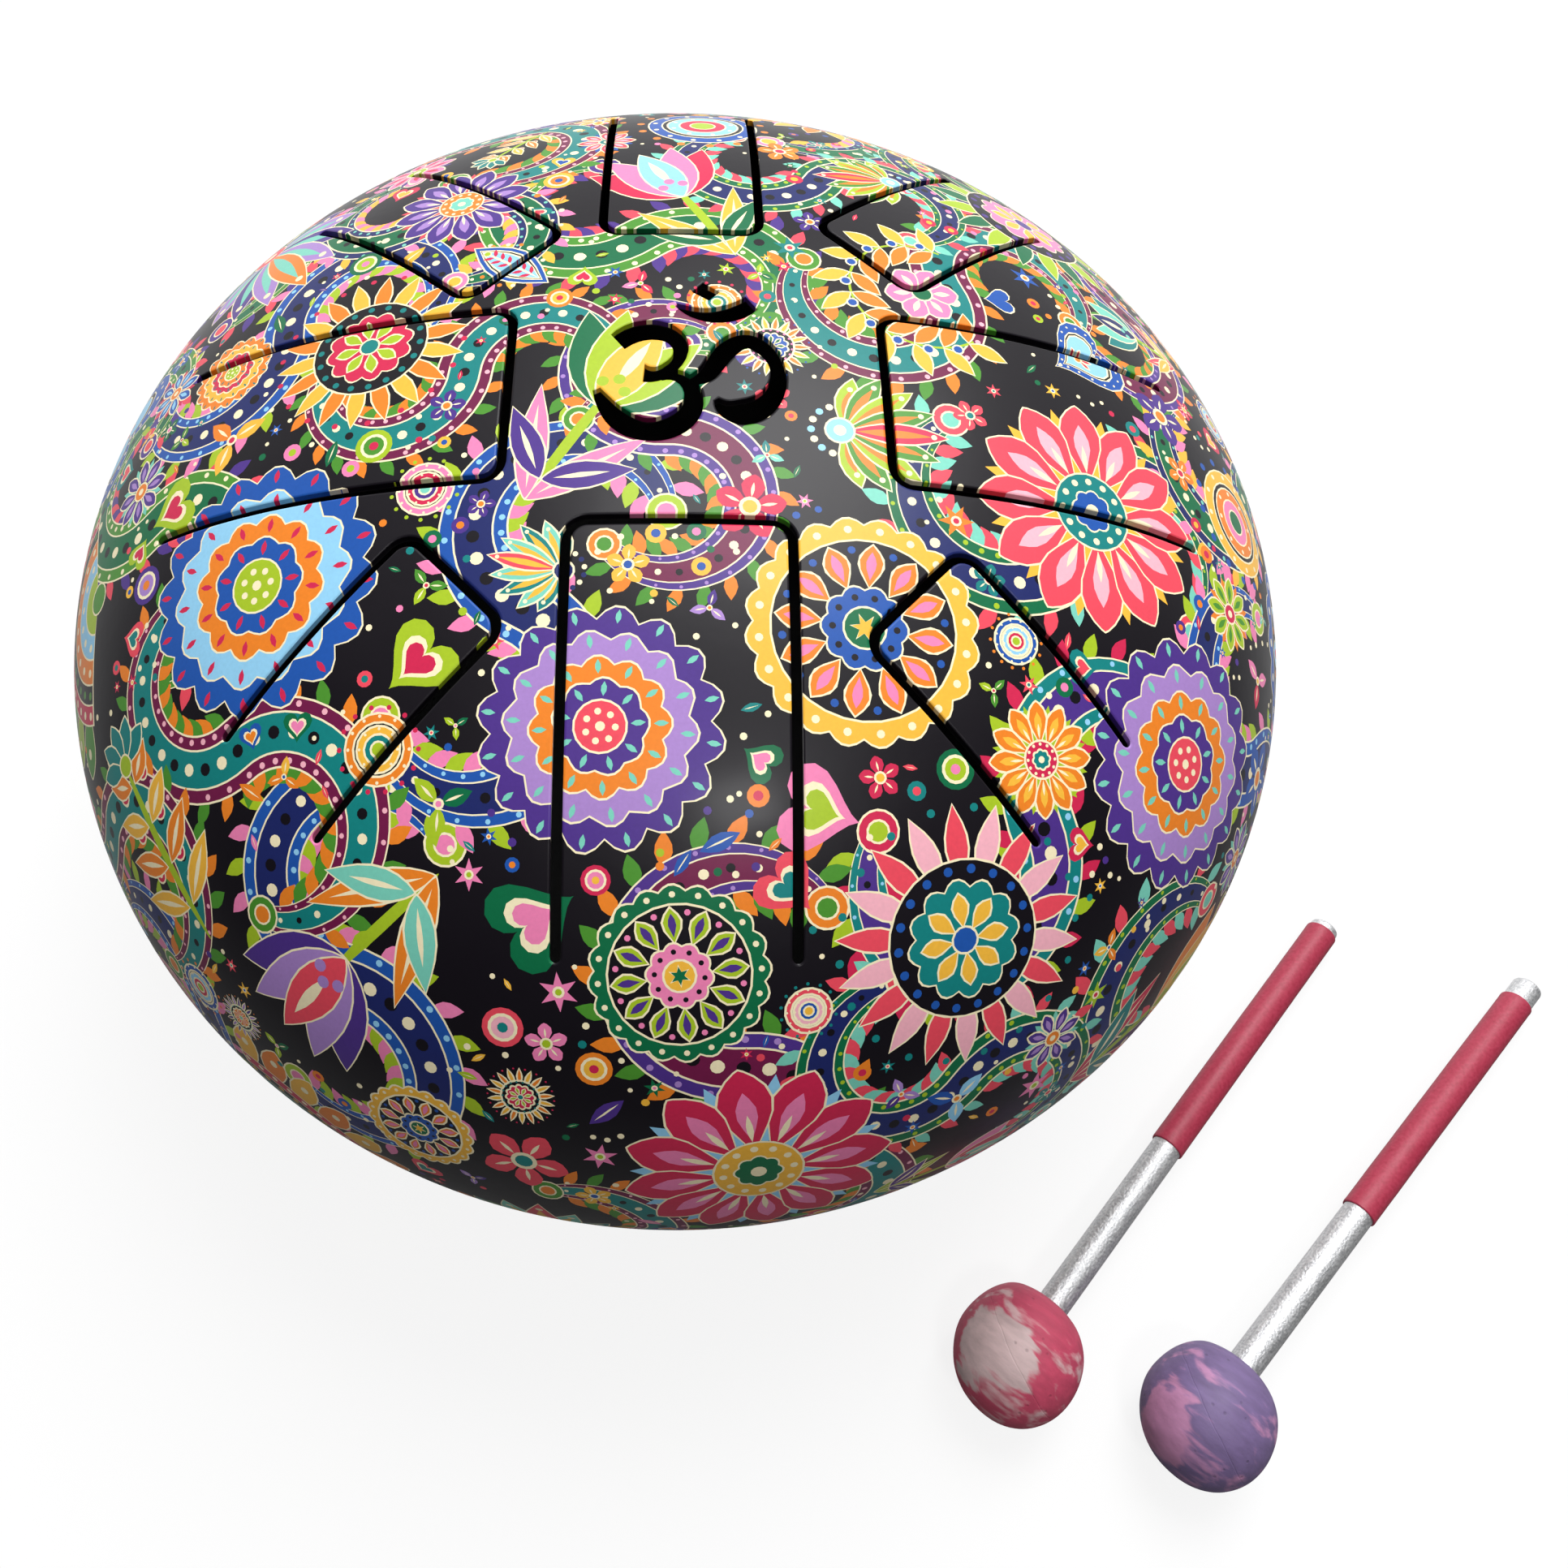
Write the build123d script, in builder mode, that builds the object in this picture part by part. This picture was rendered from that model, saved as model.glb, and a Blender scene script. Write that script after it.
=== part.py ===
import os
from math import asin, atan2, cos, degrees, hypot, radians, sin

from build123d import *

# A steel tongue drum with its pair of mallets, in millimetres.
# The drum's axis is Z, the feet stand on Z = 0 and the longest tongue points to -Y.

# Shells
drum_radius = 127.0  # 10 inch class
dome_height = 75.5  # equator to crown
crown_fullness = 0.78  # reach of the crown's tangent, as a share of the radius
dome_side_fullness = 0.40  # reach of the equator's tangent, as a share of the height
bowl_depth = 66.5  # equator to base
base_radius = 74.0  # flat ground of the bowl
bowl_turn_fullness = 0.62  # reach of the base's tangent, as a share of the bowl's overhang
bowl_side_fullness = 0.50  # reach of the equator's tangent, as a share of the depth
wall = 1.6

# Tongues, anticlockwise from the front as seen from above
tongue_tip_radius = [27.1, 54.3, 36.1, 48.7, 39.1, 43.6, 30.1, 51.4]
tongue_width = [37.1, 24.5, 37.1, 24.5, 29.9, 24.5, 37.1, 24.5]  # between slit centre lines
tongue_root_distance = 93.2  # axis to the slit ends, along each tongue
tongue_corner_radius = 3.6
slit_width = 1.8
front_direction = -90.0  # degrees from +X

# Sound hole: a traditional Om figure, drawn in brush strokes
# Each stroke point is across, up and stroke width, in units of one pen module
pen_module = 1.0
upper_bowl = [
    (-11.1, 9.7, 4.3), (-7.9, 12.0, 4.8), (-4.2, 12.4, 4.7), (-0.6, 10.2, 3.6),
    (0.0, 7.0, 2.6), (-1.6, 4.0, 2.8), (-4.0, 2.3, 3.2), (-6.4, 2.5, 4.0),
]
lower_bowl = [
    (-3.0, 2.0, 2.6), (0.6, 1.2, 2.8), (2.3, -2.7, 3.3), (0.9, -6.8, 4.6), (-1.9, -9.0, 5.0),
    (-5.4, -9.7, 4.7), (-9.2, -8.4, 4.6), (-12.8, -4.4, 3.2), (-14.5, -1.0, 1.4),
]
tail = [
    (1.5, 0.9, 2.2), (4.6, 2.5, 3.6), (7.1, 6.8, 4.2), (9.2, 9.4, 4.4), (11.8, 10.6, 4.3),
    (14.6, 9.0, 3.8), (17.0, 4.2, 2.8), (16.9, 0.5, 3.2), (15.4, -2.8, 4.2), (13.0, -5.0, 5.2),
    (10.0, -5.8, 5.2), (7.6, -4.9, 3.4), (6.2, -3.2, 1.0),
]
crescent = [(-0.8, 18.7, 0.8), (1.4, 17.3, 2.2), (4.6, 16.3, 3.4), (8.6, 16.8, 4.2), (12.8, 19.6, 3.8)]
seed = [(2.1, 22.0), (4.0, 24.5), (7.1, 22.2), (5.1, 19.9)]

# Base: round sound port and screwed rubber feet
port_radius = 30.0
foot_count = 4
foot_circle_radius = 58.0
foot_turn = 45.0  # degrees of the first foot from +X
foot_height = 8.0
foot_top_radius = 11.0
foot_bottom_radius = 9.5
foot_edge_radius = 1.0
foot_recess_radius = 5.6
foot_web = 3.4  # rubber under the base, above the recess
screw_radius = 2.0
screw_hole_radius = 2.2
screw_head_radius = 3.8
screw_head_height = 2.4
screw_edge_radius = 0.8
screw_point = 1.2  # thread showing above the nut
washer_radius = 5.0
washer_thickness = 0.8
nut_across_flats = 7.0
nut_height = 3.2
thread_clearance = 0.02

# Mallets
head_radius = 12.9
head_nose_length = 13.1  # centre to nose
head_back_length = 12.4  # centre to the flat where the shaft goes in
head_flat_radius = 5.0
head_roundness = 0.56  # tangent reach that draws a near-round quarter
head_bore_depth = 18.0
shaft_radius = 3.25
shaft_end_radius = 0.8
sleeve_wall = 0.4
sleeve_start = 58.2  # head centre to sleeve
sleeve_length = 71.8
push_fit = 0.02
mallet_stub = [2.0, 6.1]  # bare shaft behind each sleeve
mallet_middle = [(118.0, -99.6), (160.5, -112.3)]  # plan position of each mallet's mid length
mallet_direction = [45.65, 41.73]  # plan direction from head to tail, degrees from +X

base_level = foot_height
equator_level = base_level + bowl_depth
crown_level = equator_level + dome_height

os.makedirs("parts", exist_ok=True)


def finish(piece, name):
    piece.part.label = name
    export_step(piece.part, f"parts/{name}.step")


def dome_curve(inset):
    """Meridian of the dome from crown to equator, moved inwards by the inset."""
    radius = drum_radius - inset
    height = dome_height - inset
    return Bezier(
        (0, equator_level + height),
        (crown_fullness * radius, equator_level + height),
        (radius, equator_level + dome_side_fullness * height),
        (radius, equator_level),
    )


def bowl_curve(inset):
    """Meridian of the bowl from the edge of its flat base to the equator, moved inwards."""
    radius = drum_radius - inset
    depth = bowl_depth - inset
    overhang = radius - base_radius
    return Bezier(
        (base_radius, equator_level - depth),
        (base_radius + bowl_turn_fullness * overhang, equator_level - depth),
        (radius, equator_level - bowl_side_fullness * depth),
        (radius, equator_level),
    )


def brush_stroke(points):
    """Closed outline of a pen stroke whose width changes along its centre line."""
    left, right = [], []
    for i, (x, y, width) in enumerate(points):
        before = points[max(i - 1, 0)]
        after = points[min(i + 1, len(points) - 1)]
        run = hypot(after[0] - before[0], after[1] - before[1])
        across = (-(after[1] - before[1]) / run * width / 2, (after[0] - before[0]) / run * width / 2)
        left.append(((x + across[0]) * pen_module, (y + across[1]) * pen_module))
        right.append(((x - across[0]) * pen_module, (y - across[1]) * pen_module))
    with BuildLine() as outline:
        Spline(*left)
        Line(left[-1], right[-1])
        Spline(*reversed(right))
        Line(right[0], left[0])
    return outline.edges()


# Top shell: pressed dome with U-shaped slits that free the tongues, and the sound hole
with BuildPart() as top_shell:
    with BuildSketch(Plane.XZ):
        with BuildLine():
            outside = dome_curve(0)
            inside = dome_curve(wall)
            Line(outside @ 0, inside @ 0)
            Line(outside @ 1, inside @ 1)
        make_face()
    revolve(axis=Axis.Z)
    for index, (tip, width) in enumerate(zip(tongue_tip_radius, tongue_width)):
        direction = front_direction + index * 360 / len(tongue_tip_radius)
        with BuildSketch(Plane.XY.offset(crown_level).rotated((0, 0, direction))):
            with BuildLine() as slit:
                FilletPolyline(
                    (tongue_root_distance, -width / 2),
                    (tip, -width / 2),
                    (tip, width / 2),
                    (tongue_root_distance, width / 2),
                    radius=tongue_corner_radius,
                )
            trace(slit.line, line_width=slit_width)
            with Locations((tongue_root_distance, -width / 2), (tongue_root_distance, width / 2)):
                Circle(slit_width / 2)
        extrude(amount=-dome_height, mode=Mode.SUBTRACT)
    with BuildSketch(Plane.XY.offset(crown_level)):
        for stroke in (upper_bowl, lower_bowl, tail, crescent):
            make_face(brush_stroke(stroke))
        Polygon(*[(x * pen_module, y * pen_module) for x, y in seed], align=None)
    extrude(amount=-dome_height, mode=Mode.SUBTRACT)
finish(top_shell, "top_shell")

# Bottom shell: pressed bowl with a flat base, a round port and the foot screw holes
with BuildPart() as bottom_shell:
    with BuildSketch(Plane.XZ):
        with BuildLine():
            outside = bowl_curve(0)
            inside = bowl_curve(wall)
            Polyline(outside @ 0, (port_radius, base_level), (port_radius, base_level + wall), inside @ 0)
            Line(outside @ 1, inside @ 1)
        make_face()
    revolve(axis=Axis.Z)
    with BuildSketch(Plane.XY.offset(base_level)):
        with PolarLocations(foot_circle_radius, foot_count, start_angle=foot_turn):
            Circle(screw_hole_radius)
    extrude(amount=wall, mode=Mode.SUBTRACT)
finish(bottom_shell, "bottom_shell")

# Feet: moulded rubber, each held by a screw, a washer in its recess and a nut inside the bowl
recess_level = foot_height - foot_web
screw_seat = recess_level - washer_thickness
nut_seat = base_level + wall
for index, spot in enumerate(PolarLocations(foot_circle_radius, foot_count, start_angle=foot_turn)):
    foot_axis = Plane((spot.position.X, spot.position.Y, 0))
    number = index + 1

    with BuildPart() as rubber_foot:
        with BuildSketch(foot_axis):
            Circle(foot_bottom_radius)
        with BuildSketch(foot_axis.offset(foot_height)):
            Circle(foot_top_radius)
        loft()
        fillet(rubber_foot.faces().sort_by(Axis.Z)[0].edges(), foot_edge_radius)
        with BuildSketch(foot_axis):
            Circle(foot_recess_radius)
        extrude(amount=recess_level, mode=Mode.SUBTRACT)
        with BuildSketch(foot_axis):
            Circle(screw_hole_radius)
        extrude(amount=foot_height, mode=Mode.SUBTRACT)
    finish(rubber_foot, f"rubber_foot_{number}")

    with BuildPart() as foot_washer:
        with BuildSketch(foot_axis.offset(screw_seat)):
            Circle(washer_radius)
            Circle(screw_hole_radius, mode=Mode.SUBTRACT)
        extrude(amount=washer_thickness)
    finish(foot_washer, f"foot_washer_{number}")

    with BuildPart() as foot_screw:
        with BuildSketch(foot_axis.offset(screw_seat)):
            Circle(screw_head_radius)
        extrude(amount=-screw_head_height)
        fillet(foot_screw.faces().sort_by(Axis.Z)[0].edges(), screw_edge_radius)
        with BuildSketch(foot_axis.offset(screw_seat)):
            Circle(screw_radius)
        extrude(amount=nut_seat + nut_height + screw_point - screw_seat)
    finish(foot_screw, f"foot_screw_{number}")

    with BuildPart() as foot_nut:
        with BuildSketch(foot_axis.offset(nut_seat)):
            RegularPolygon(nut_across_flats / 2, 6, major_radius=False)
            Circle(screw_radius + thread_clearance, mode=Mode.SUBTRACT)
        extrude(amount=nut_height)
    finish(foot_nut, f"foot_nut_{number}")

# Mallets: each lies on its head and its tail, with a rubber head and a grip sleeve on a bare shaft
sleeve_radius = shaft_radius + push_fit + sleeve_wall
sleeve_end = sleeve_start + sleeve_length
for index, (stub, middle, direction) in enumerate(zip(mallet_stub, mallet_middle, mallet_direction)):
    number = index + 1
    tail_end = sleeve_end + stub
    touches = [(sleeve_end, sleeve_radius), (tail_end, shaft_radius)]
    slope = min(asin(head_radius / hypot(reach, r)) - atan2(r, reach) for reach, r in touches)
    along = Vector(
        cos(slope) * cos(radians(direction)), cos(slope) * sin(radians(direction)), -sin(slope)
    )
    sideways = Vector(-sin(radians(direction)), cos(radians(direction)), 0)
    head_centre = Vector(middle[0], middle[1], head_radius) - Vector(along.X, along.Y, 0) * (tail_end / 2)
    across_shaft = Plane(head_centre, x_dir=sideways, z_dir=along)
    along_shaft = Plane(head_centre, x_dir=along, z_dir=sideways)

    with BuildPart() as mallet_shaft:
        bore_end = head_back_length - head_bore_depth
        with BuildSketch(across_shaft.offset(bore_end)):
            Circle(shaft_radius)
        extrude(amount=tail_end - bore_end)
        fillet(mallet_shaft.edges().sort_by(Axis(head_centre, along))[-1], shaft_end_radius)
    finish(mallet_shaft, f"mallet_{number}_shaft")

    with BuildPart() as mallet_sleeve:
        with BuildSketch(across_shaft.offset(sleeve_start)):
            Circle(sleeve_radius)
            Circle(shaft_radius + push_fit, mode=Mode.SUBTRACT)
        extrude(amount=sleeve_length)
    finish(mallet_sleeve, f"mallet_{number}_sleeve")

    with BuildPart() as mallet_head:
        with BuildSketch(along_shaft):
            with BuildLine():
                nose = Bezier(
                    (-head_nose_length, 0),
                    (-head_nose_length, head_roundness * head_radius),
                    (-head_roundness * head_nose_length, head_radius),
                    (0, head_radius),
                )
                back = Bezier(
                    (0, head_radius),
                    (head_roundness * head_back_length, head_radius),
                    (head_back_length, head_flat_radius + head_roundness * (head_radius - head_flat_radius)),
                    (head_back_length, head_flat_radius),
                )
                Polyline(back @ 1, (head_back_length, 0), nose @ 0)
            make_face()
        revolve(axis=Axis(head_centre, along))
        with BuildSketch(across_shaft.offset(head_back_length)):
            Circle(shaft_radius + push_fit)
        extrude(amount=-head_bore_depth, mode=Mode.SUBTRACT)
    finish(mallet_head, f"mallet_{number}_head")

    print(f"mallet {number}: slope {degrees(slope):.2f} degrees, head centre {head_centre}")
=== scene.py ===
import math
import random

import bpy
import numpy as np
from mathutils import Matrix, Vector
from mathutils.geometry import delaunay_2d_cdt


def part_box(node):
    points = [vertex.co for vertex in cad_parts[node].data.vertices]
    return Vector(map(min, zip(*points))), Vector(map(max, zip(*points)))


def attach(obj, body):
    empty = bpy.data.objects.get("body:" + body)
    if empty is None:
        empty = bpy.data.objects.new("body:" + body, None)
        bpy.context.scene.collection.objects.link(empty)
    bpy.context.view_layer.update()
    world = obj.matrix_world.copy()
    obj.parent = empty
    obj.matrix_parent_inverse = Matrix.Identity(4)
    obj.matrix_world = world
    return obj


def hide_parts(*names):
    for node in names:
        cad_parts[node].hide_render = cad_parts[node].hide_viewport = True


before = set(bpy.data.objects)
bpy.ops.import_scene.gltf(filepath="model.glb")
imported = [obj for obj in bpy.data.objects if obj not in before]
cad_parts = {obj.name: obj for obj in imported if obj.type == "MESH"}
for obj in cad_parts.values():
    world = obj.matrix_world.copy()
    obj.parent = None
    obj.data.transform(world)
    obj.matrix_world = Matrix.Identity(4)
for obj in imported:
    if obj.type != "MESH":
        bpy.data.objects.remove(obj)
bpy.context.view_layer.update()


# Drum shells, their form. A dome and a bowl are pressed from 1.6 mm steel sheet and welded edge to
# edge at the equator. Each is drawn flat here, in millimetres over the surface from its pole, since
# the print is drawn flat too. The cuts through them are read from the frame's own dome and bowl.
mm = 0.001
wall = 1.6
drum_radius = 127.0
base_radius = 74.0
crown_fullness = 0.78
dome_side_fullness = 0.40
bowl_turn_fullness = 0.62
bowl_side_fullness = 0.50
dome_low, dome_high = (np.array(corner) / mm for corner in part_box("top_shell"))
bowl_low, bowl_high = (np.array(corner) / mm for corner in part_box("bottom_shell"))
dome_height = dome_high[2] - dome_low[2]
bowl_depth = bowl_high[2] - bowl_low[2]
equator_level = dome_low[2]
off_curve = 0.012  # how far a corner of the frame's outer skin may lie from the true curve
rim_margin = 1.0  # outlines this near the equator are the rim and no cut


def bezier(points, steps=400):
    t = np.linspace(0, 1, steps)[:, None]
    a, b, c, d = (np.array(point, float) for point in points)
    return a * (1 - t) ** 3 + 3 * b * t * (1 - t) ** 2 + 3 * c * t * t * (1 - t) + d * t ** 3


def unit(ways):
    return ways / np.maximum(np.linalg.norm(ways, axis=1, keepdims=True), 1e-9)


class Skin:
    """One side of a shell, as radius and height by distance over the surface from its pole."""

    def __init__(self, section, facing):
        self.radius, self.height = section.T
        steps = np.hypot(np.diff(self.radius), np.diff(self.height))
        self.reach = np.concatenate([[0], np.cumsum(steps)])
        self.facing = facing
        self.edge = self.reach[-1]

    def lift(self, flat):
        x, y = flat.T
        reach, turn = np.hypot(x, y), np.arctan2(y, x)
        radius = np.interp(reach, self.reach, self.radius)
        height = np.interp(reach, self.reach, self.height)
        return np.stack([radius * np.cos(turn), radius * np.sin(turn), height], 1)

    def normals(self, flat):
        x, y = flat.T
        reach, turn = np.hypot(x, y), np.arctan2(y, x)
        out = np.interp(reach, self.reach, np.gradient(self.radius, self.reach))
        up = np.interp(reach, self.reach, np.gradient(self.height, self.reach))
        return unit(np.stack([-up * np.cos(turn), -up * np.sin(turn), out], 1) * self.facing)

    def flatten(self, plan):
        radius = np.hypot(*plan.T)
        share = np.interp(radius, self.radius, self.reach) / np.maximum(radius, 1e-6)
        return plan * share[:, None]


def dome_skin(inset):
    radius, height = drum_radius - inset, dome_height - inset
    return Skin(bezier([
        (0, equator_level + height),
        (crown_fullness * radius, equator_level + height),
        (radius, equator_level + dome_side_fullness * height),
        (radius, equator_level),
    ]), 1)


def bowl_skin(inset):
    radius, depth = drum_radius - inset, bowl_depth - inset
    overhang = radius - base_radius
    turn = bezier([
        (base_radius, equator_level - depth),
        (base_radius + bowl_turn_fullness * overhang, equator_level - depth),
        (radius, equator_level - bowl_side_fullness * depth),
        (radius, equator_level),
    ])
    return Skin(np.vstack([[(0, equator_level - depth)], turn]), -1)


def sides_of(faces):
    return np.concatenate([faces[:, [0, 1]], faces[:, [1, 2]], faces[:, [2, 0]]])


def cut_outlines(node, skin):
    """Plan outlines of the cuts through a shell: the open edges of its outer skin, short of the rim."""
    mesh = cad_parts[node].data
    corners = np.array([vertex.co for vertex in mesh.vertices]) / mm
    spots, where = np.unique(np.round(corners, 3), axis=0, return_inverse=True)
    level = np.interp(np.hypot(spots[:, 0], spots[:, 1]), skin.radius, skin.height)
    outside = np.abs(spots[:, 2] - level) < off_curve
    faces = where.ravel()[np.array([face.vertices[:] for face in mesh.polygons])]
    faces = faces[outside[faces].all(1)]
    sides, times = np.unique(np.sort(sides_of(faces), 1), axis=0, return_counts=True)
    links = {}
    for a, b in sides[times == 1].tolist():
        if a != b:
            links.setdefault(a, []).append(b)
            links.setdefault(b, []).append(a)
    outlines = []
    while links:
        chain = [min(links)]
        while chain:
            onward = [spot for spot in links.pop(chain[-1]) if spot in links]
            if not onward:
                break
            chain.append(onward[0])
        outline = spots[chain][:, :2]
        x, y = outline.T
        if np.sum(x * np.roll(y, -1) - y * np.roll(x, -1)) < 0:
            outline = outline[::-1]
        if np.hypot(x, y).min() < drum_radius - rim_margin:
            outlines.append(outline)
    return outlines


dome_outside, dome_inside = dome_skin(0), dome_skin(wall)
bowl_outside, bowl_inside = bowl_skin(0), bowl_skin(wall)
dome_cuts = cut_outlines("top_shell", dome_outside)
bowl_cuts = cut_outlines("bottom_shell", bowl_outside)


# Drum shells, the print's motifs. A transfer film printed with folk flowers, leaves, wheels and
# hearts in bright inks with cream outlines on a black ground covers both shells. Each motif is drawn
# with its lengths as shares of its own size.
inks = {
    "ground": "120e15", "cream": "f9ecc4", "orange": "ec8326", "amber": "f4b93f", "coral": "ea4b5c",
    "rose": "cf2750", "pink": "ef83b2", "blush": "f6b3c1", "lime": "a6c227", "leaf": "4b8f2e",
    "green": "0a6a42", "teal": "127f7d", "mint": "79cdb8", "sky": "92cdee", "blue": "1f54a8",
    "navy": "1d2763", "purple": "4d3187", "lilac": "a884c8", "plum": "701a46",
}
ink_names = list(inks)
schemes = [scheme.split() for scheme in (
    "orange amber rose teal lime", "rose pink amber green sky", "teal mint coral amber navy",
    "blue sky orange rose lime", "green lime pink purple amber", "purple lilac orange mint coral",
    "coral blush teal blue amber", "lime leaf rose orange sky", "amber orange blue pink green",
    "pink rose lime purple mint",
)]
ribbon_schemes = [scheme.split() for scheme in (
    "green lime coral mint navy", "purple lilac orange leaf plum", "teal sky rose lime purple",
    "navy mint pink amber green", "plum blush leaf orange teal", "leaf cream purple coral green",
    "blue sky lime pink navy",
)]
line = 0.36  # millimetres of cream round a lined shape
upright = math.pi / 2


def around(count, shift=0.0):
    """Directions spread evenly round a circle, moved on by a share of a step."""
    return 2 * math.pi * (np.arange(count) + shift) / count


def polar(radius, way):
    return np.stack([radius * np.cos(way), radius * np.sin(way)], -1)


def spin(points, turn, shift=(0, 0)):
    cosine, sine = math.cos(turn), math.sin(turn)
    return points @ np.array([[cosine, sine], [-sine, cosine]]) + shift


class Motif:
    """Shapes, each drawn over those before it. Inks 1 to 5 are those of the scheme. Petals, discs and
    scallops are lined with cream; leaves and beads are plain."""

    def __init__(self, size, scheme):
        self.size, self.scheme, self.shapes = size, scheme, []

    def add(self, ink, outline):
        self.shapes.append((ink if isinstance(ink, str) else self.scheme[ink - 1], outline * self.size))

    def lined(self, ink, outline_of, radius):
        self.add("cream", outline_of(radius))
        self.add(ink, outline_of(radius - min(line / self.size, 0.3 * radius)))

    def circle(self, radius):
        return polar(radius, around(int(4 + 7 * math.sqrt(radius * self.size))))

    def bead(self, ink, radius, spot=(0, 0)):
        self.add(ink, self.circle(radius) + spot)

    def beads(self, ink, ways, ring, radius, foot=(0, 0)):
        for spot in polar(ring, ways) + foot:
            self.bead(ink, radius, spot)

    def disc(self, ink, radius, spot=(0, 0)):
        self.lined(ink, lambda r: self.circle(r) + spot, radius)

    def scallop(self, ink, radius, lobes, depth, turn=0.0):
        way = around(5 * lobes)
        wave = 1 - depth * (1 - np.abs(np.sin(lobes * (way - turn) / 2)))
        self.lined(ink, lambda r: polar(r * wave, way), radius)

    def heart(self, radius):
        t = around(14 + int(4 * math.sqrt(radius * self.size)))
        across = 16 * np.sin(t) ** 3
        up = 13 * np.cos(t) - 5 * np.cos(2 * t) - 2 * np.cos(3 * t) - np.cos(4 * t) + 2.5
        return np.stack([across, up], 1) * radius / 16

    def sector(self, ink, inner, outer, start, end, foot=(0, 0)):
        way = np.linspace(start, end, 5 + int(2 * math.sqrt(outer * self.size) * (end - start)))
        self.add(ink, np.vstack([polar(outer, way), polar(inner, way[::-1])]) + foot)

    def leaf(self, ink, way, start, end, width, belly=1.0, tip=1.0, foot=(0, 0)):
        steps = 4 + int(1.8 * math.sqrt((end - start) * self.size))
        t = 0.5 - 0.5 * np.cos(np.linspace(0, math.pi, steps))
        half = width / 2 * np.maximum(np.sin(math.pi * t ** belly), 0) ** tip
        side = np.stack([start + (end - start) * t, half], 1)
        self.add(ink, spin(np.vstack([side, (side * (1, -1))[-2:0:-1]]), way, foot))

    def petal(self, ink, way, start, end, width, *form, foot=(0, 0)):
        inset = min(line / self.size, 0.25 * width)
        self.leaf("cream", way, start, end, width, *form, foot=foot)
        self.leaf(ink, way, start + inset, end - inset, width - 2 * inset, *form, foot=foot)


def star(radius, inner):
    return polar(np.where(np.arange(12) % 2, inner, radius), around(12))


def marigold(art):
    for share, lobes, ink, turn in ((1.0, 16, 1, 0), (0.79, 14, 2, 0.2), (0.58, 12, 3, 0), (0.40, 9, 1, 0.3)):
        art.scallop(ink, share, lobes, 0.12, turn)
        for way in around(lobes, 0.5) + turn:
            art.leaf(4, way, share - 0.16, share - 0.04, 0.05)
    art.disc(5, 0.22)
    art.beads("cream", around(7), 0.12, 0.028)
    art.bead("cream", 0.04)


def daisy(art):
    for way in around(12, 0.5):
        art.leaf(5, way, 0.3, 0.93, 0.2, 0.9)
    for way in around(12):
        art.petal(1, way, 0.2, 1.0, 0.40, 1.5, 0.8)
        art.leaf(2, way, 0.34, 0.80, 0.15, 1.3)
        art.leaf("cream", way, 0.34, 0.6, 0.05)
    art.disc(3, 0.34)
    art.beads("cream", around(12), 0.26, 0.03)
    art.scallop(4, 0.19, 8, 0.15)
    art.bead("cream", 0.06)


def wheel(art):
    art.scallop(1, 1.0, 20, 0.07)
    art.beads("cream", around(20, 0.5), 0.88, 0.035)
    art.disc("ground", 0.79)
    for way in around(12):
        art.petal(2, way, 0.34, 0.76, 0.24, 1.2)
        art.leaf(4, way, 0.42, 0.68, 0.09, 1.2)
        art.bead(3, 0.035, polar(0.69, way + math.pi / 12))
    art.scallop(3, 0.38, 10, 0.12)
    art.beads("ground", around(10, 0.5), 0.27, 0.03)
    art.disc(5, 0.19)
    art.lined(1, lambda radius: star(radius, 0.05), 0.13)


def sunburst(art):
    art.beads(3, around(18), 0.96, 0.032)
    for k, way in enumerate(around(18, 0.5)):
        art.petal(1 if k % 2 else 2, way, 0.42, 1.0, 0.2, 0.9)
    art.disc("ground", 0.60)
    art.beads(4, around(18), 0.52, 0.035)
    art.scallop(3, 0.46, 12, 0.14)
    for way in around(8):
        art.petal(5, way, 0.08, 0.36, 0.15, 1.3)
    art.disc(4, 0.11)


def lotus(art):
    foot = (0, -0.52)
    pairs = ((75, 0.86, 1), (55, 1.04, 2), (34, 1.2, 1), (16, 1.3, 2))
    row = [(side * lean, reach, ink) for lean, reach, ink in pairs for side in (1, -1)]
    for lean, reach, ink in row + [(0, 1.4, 3)]:
        way = math.radians(90 + lean)
        art.petal(ink, way, 0.08, reach, 0.34, 1.05, 0.9, foot=foot)
        art.leaf(4, way, 0.2, reach - 0.22, 0.12, foot=foot)
        art.bead("cream", 0.04, polar(reach - 0.2, way) + foot)
    art.disc(5, 0.2, foot)
    art.bead("cream", 0.08, foot)
    for k in range(7):
        art.bead(5 if k % 2 else "cream", 0.05, polar(0.36, math.radians(198 + 24 * k)) + foot)


def tulip(art):
    art.leaf("lime", upright, -1.0, 0.2, 0.09, 1.0, 0.5)
    for side in (1, -1):
        for lean, level, reach, ink in ((28, -0.98, 1.05, 3), (52, -0.78, 0.72, 4)):
            way = math.radians(90 - side * lean)
            art.petal(ink, way, 0.0, reach, 0.26, 0.8, foot=(0, level))
            art.leaf("cream", way, 0.1, reach - 0.2, 0.045, foot=(0, level))
    pairs = ((38, 1, 0.42, 0.98), (20, 2, 0.40, 1.0))
    cup = [(side * lean, *rest) for lean, *rest in pairs for side in (1, -1)]
    for lean, ink, width, reach in cup + [(0, 5, 0.40, 0.94)]:
        art.petal(ink, math.radians(90 + lean), 0.0, reach, width, 0.85, 0.9, foot=(0, -0.02))
    art.leaf("cream", upright, 0.25, 0.74, 0.1, foot=(0, -0.02))
    for spot in ((-0.1, 0.2), (0.0, 0.28), (0.1, 0.2)):
        art.bead(2, 0.05, spot)


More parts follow.
